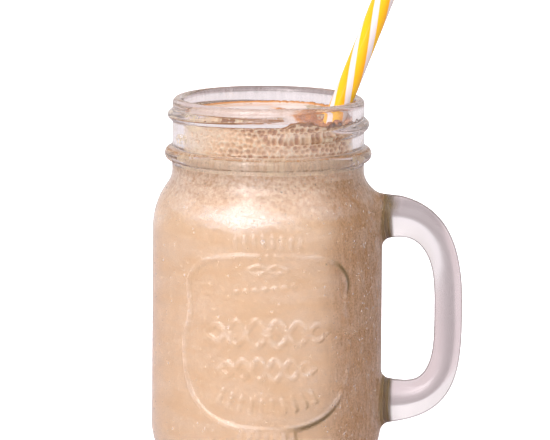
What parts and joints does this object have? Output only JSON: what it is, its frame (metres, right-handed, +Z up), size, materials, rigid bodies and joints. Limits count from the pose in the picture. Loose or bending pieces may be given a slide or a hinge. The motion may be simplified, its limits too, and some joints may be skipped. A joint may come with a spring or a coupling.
{
  "type": "milkshake",
  "caption": "Milkshake with a head of froth in a pressed glass screw-top jar with a side handle and a raised blank plaque, and a leaning striped straw.",
  "frame": {"origin": "on the jar's axis, in the plane of the ring that it stands on", "axes": "+Z up along the jar's axis, +X towards the handle, -Y the side with the raised plaque"},
  "size_m": [0.1075, 0.0803, 0.2038],
  "materials": {
    "jar": "clear pressed soda-lime glass, misted with condensation",
    "milkshake": "thick pinkish tan milk drink, glossy and opaque",
    "froth": "pale tan foam with open bubbles",
    "straw": "hard plastic with twisted yellow and white stripes"
  },
  "bodies": {
    "root": {"jar": "jar", "milkshake": "milkshake", "froth": "froth", "straw": "straw"}
  },
  "joints": []
}
